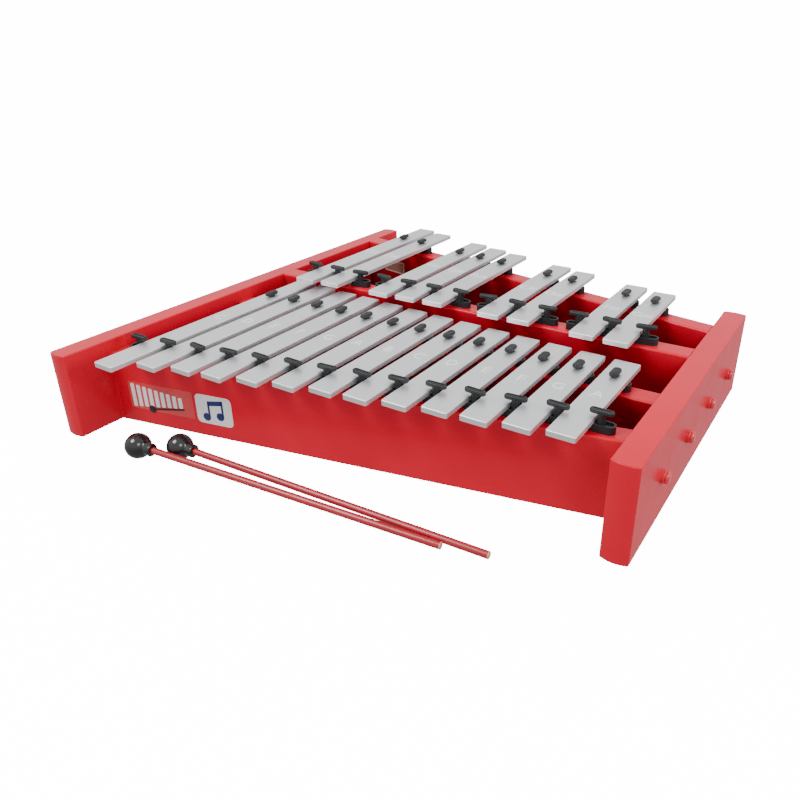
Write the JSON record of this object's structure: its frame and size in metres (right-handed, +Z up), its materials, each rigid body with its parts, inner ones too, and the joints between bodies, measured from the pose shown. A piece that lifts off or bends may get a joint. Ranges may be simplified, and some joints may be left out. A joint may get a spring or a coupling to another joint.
{
  "type": "chromatic alto metallophone",
  "caption": "Chromatic tuned-bar instrument: metal bars on rubber posts over a tapering red wooden sound box, with a pair of ball-headed mallets lying in front.",
  "frame": {"origin": "centre of the bounding box, on the floor under the rubber feet", "axes": "+X towards the treble end, -Y towards the player, +Z up"},
  "size_m": [0.6706, 0.6664, 0.1331],
  "materials": {
    "red_board": "glossy red paint on wood",
    "base_board": "thin board, dark red paint",
    "red_cap": "glossy red plastic",
    "bar_metal": "satin, brushed along the bar",
    "post_rubber": "charcoal moulded rubber",
    "foot_rubber": "black rubber",
    "screw_steel": "zinc plated",
    "label_paper": "blank paper label",
    "mallet_head": "hard black rubber, glossy",
    "mallet_stick": "red lacquer on turned wood"
  },
  "bodies": {
    "instrument_frame": {"accidental_front_rail": "red_board", "accidental_pins": "post_rubber", "accidental_posts": "post_rubber", "base_panel": "base_board", "bass_end_panel": "red_board", "bass_end_screws": "screw_steel", "bass_screw_caps": "red_cap", "front_rail": "red_board", "inner_label": "label_paper", "natural_pins": "post_rubber", "natural_posts": "post_rubber", "natural_rear_rail": "red_board", "rear_rail": "red_board", "rubber_feet": "foot_rubber", "treble_end_panel": "red_board", "treble_end_screws": "screw_steel", "treble_screw_caps": "red_cap"},
    "bar_c4_body": {"bar_c4": "bar_metal"},
    "bar_d4_body": {"bar_d4": "bar_metal"},
    "bar_e4_body": {"bar_e4": "bar_metal"},
    "bar_f4_body": {"bar_f4": "bar_metal"},
    "bar_g4_body": {"bar_g4": "bar_metal"},
    "bar_a4_body": {"bar_a4": "bar_metal"},
    "bar_b4_body": {"bar_b4": "bar_metal"},
    "bar_c5_body": {"bar_c5": "bar_metal"},
    "bar_d5_body": {"bar_d5": "bar_metal"},
    "bar_e5_body": {"bar_e5": "bar_metal"},
    "bar_f5_body": {"bar_f5": "bar_metal"},
    "bar_g5_body": {"bar_g5": "bar_metal"},
    "bar_a5_body": {"bar_a5": "bar_metal"},
    "bar_c_sharp_4_body": {"bar_c_sharp_4": "bar_metal"},
    "bar_d_sharp_4_body": {"bar_d_sharp_4": "bar_metal"},
    "bar_f_sharp_4_body": {"bar_f_sharp_4": "bar_metal"},
    "bar_g_sharp_4_body": {"bar_g_sharp_4": "bar_metal"},
    "bar_a_sharp_4_body": {"bar_a_sharp_4": "bar_metal"},
    "bar_c_sharp_5_body": {"bar_c_sharp_5": "bar_metal"},
    "bar_d_sharp_5_body": {"bar_d_sharp_5": "bar_metal"},
    "bar_f_sharp_5_body": {"bar_f_sharp_5": "bar_metal"},
    "bar_g_sharp_5_body": {"bar_g_sharp_5": "bar_metal"},
    "mallet_1": {"mallet_1_head": "mallet_head", "mallet_1_stick": "mallet_stick"},
    "mallet_2": {"mallet_2_head": "mallet_head", "mallet_2_stick": "mallet_stick"}
  },
  "joints": [
    {"name": "bar_c4_lift", "type": "slide", "parent": "instrument_frame", "child": "bar_c4_body", "axis": [0, 0, 1], "range_m": [0, 0.009], "deforming": ["natural_posts", "natural_pins"]},
    {"name": "bar_d4_lift", "type": "slide", "parent": "instrument_frame", "child": "bar_d4_body", "axis": [0, 0, 1], "range_m": [0, 0.009], "deforming": ["natural_posts", "natural_pins"]},
    {"name": "bar_e4_lift", "type": "slide", "parent": "instrument_frame", "child": "bar_e4_body", "axis": [0, 0, 1], "range_m": [0, 0.009], "deforming": ["natural_posts", "natural_pins"]},
    {"name": "bar_f4_lift", "type": "slide", "parent": "instrument_frame", "child": "bar_f4_body", "axis": [0, 0, 1], "range_m": [0, 0.009], "deforming": ["natural_posts", "natural_pins"]},
    {"name": "bar_g4_lift", "type": "slide", "parent": "instrument_frame", "child": "bar_g4_body", "axis": [0, 0, 1], "range_m": [0, 0.009], "deforming": ["natural_posts", "natural_pins"]},
    {"name": "bar_a4_lift", "type": "slide", "parent": "instrument_frame", "child": "bar_a4_body", "axis": [0, 0, 1], "range_m": [0, 0.009], "deforming": ["natural_posts", "natural_pins"]},
    {"name": "bar_b4_lift", "type": "slide", "parent": "instrument_frame", "child": "bar_b4_body", "axis": [0, 0, 1], "range_m": [0, 0.009], "deforming": ["natural_posts", "natural_pins"]},
    {"name": "bar_c5_lift", "type": "slide", "parent": "instrument_frame", "child": "bar_c5_body", "axis": [0, 0, 1], "range_m": [0, 0.009], "deforming": ["natural_posts", "natural_pins"]},
    {"name": "bar_d5_lift", "type": "slide", "parent": "instrument_frame", "child": "bar_d5_body", "axis": [0, 0, 1], "range_m": [0, 0.009], "deforming": ["natural_posts", "natural_pins"]},
    {"name": "bar_e5_lift", "type": "slide", "parent": "instrument_frame", "child": "bar_e5_body", "axis": [0, 0, 1], "range_m": [0, 0.009], "deforming": ["natural_posts", "natural_pins"]},
    {"name": "bar_f5_lift", "type": "slide", "parent": "instrument_frame", "child": "bar_f5_body", "axis": [0, 0, 1], "range_m": [0, 0.009], "deforming": ["natural_posts", "natural_pins"]},
    {"name": "bar_g5_lift", "type": "slide", "parent": "instrument_frame", "child": "bar_g5_body", "axis": [0, 0, 1], "range_m": [0, 0.009], "deforming": ["natural_posts", "natural_pins"]},
    {"name": "bar_a5_lift", "type": "slide", "parent": "instrument_frame", "child": "bar_a5_body", "axis": [0, 0, 1], "range_m": [0, 0.009], "deforming": ["natural_posts", "natural_pins"]},
    {"name": "bar_c_sharp_4_lift", "type": "slide", "parent": "instrument_frame", "child": "bar_c_sharp_4_body", "axis": [0, 0, 1], "range_m": [0, 0.03], "deforming": ["accidental_posts", "accidental_pins"]},
    {"name": "bar_d_sharp_4_lift", "type": "slide", "parent": "instrument_frame", "child": "bar_d_sharp_4_body", "axis": [0, 0, 1], "range_m": [0, 0.03], "deforming": ["accidental_posts", "accidental_pins"]},
    {"name": "bar_f_sharp_4_lift", "type": "slide", "parent": "instrument_frame", "child": "bar_f_sharp_4_body", "axis": [0, 0, 1], "range_m": [0, 0.03], "deforming": ["accidental_posts", "accidental_pins"]},
    {"name": "bar_g_sharp_4_lift", "type": "slide", "parent": "instrument_frame", "child": "bar_g_sharp_4_body", "axis": [0, 0, 1], "range_m": [0, 0.03], "deforming": ["accidental_posts", "accidental_pins"]},
    {"name": "bar_a_sharp_4_lift", "type": "slide", "parent": "instrument_frame", "child": "bar_a_sharp_4_body", "axis": [0, 0, 1], "range_m": [0, 0.03], "deforming": ["accidental_posts", "accidental_pins"]},
    {"name": "bar_c_sharp_5_lift", "type": "slide", "parent": "instrument_frame", "child": "bar_c_sharp_5_body", "axis": [0, 0, 1], "range_m": [0, 0.03], "deforming": ["accidental_posts", "accidental_pins"]},
    {"name": "bar_d_sharp_5_lift", "type": "slide", "parent": "instrument_frame", "child": "bar_d_sharp_5_body", "axis": [0, 0, 1], "range_m": [0, 0.03], "deforming": ["accidental_posts", "accidental_pins"]},
    {"name": "bar_f_sharp_5_lift", "type": "slide", "parent": "instrument_frame", "child": "bar_f_sharp_5_body", "axis": [0, 0, 1], "range_m": [0, 0.03], "deforming": ["accidental_posts", "accidental_pins"]},
    {"name": "bar_g_sharp_5_lift", "type": "slide", "parent": "instrument_frame", "child": "bar_g_sharp_5_body", "axis": [0, 0, 1], "range_m": [0, 0.03], "deforming": ["accidental_posts", "accidental_pins"]},
    {"name": "mallet_1_pick_up", "type": "slide", "parent": "instrument_frame", "child": "mallet_1", "axis": [0, -0.1961, 0.9806], "range_m": [0, 0.3]},
    {"name": "mallet_2_pick_up", "type": "slide", "parent": "instrument_frame", "child": "mallet_2", "axis": [0, -0.1961, 0.9806], "range_m": [0, 0.3]}
  ]
}
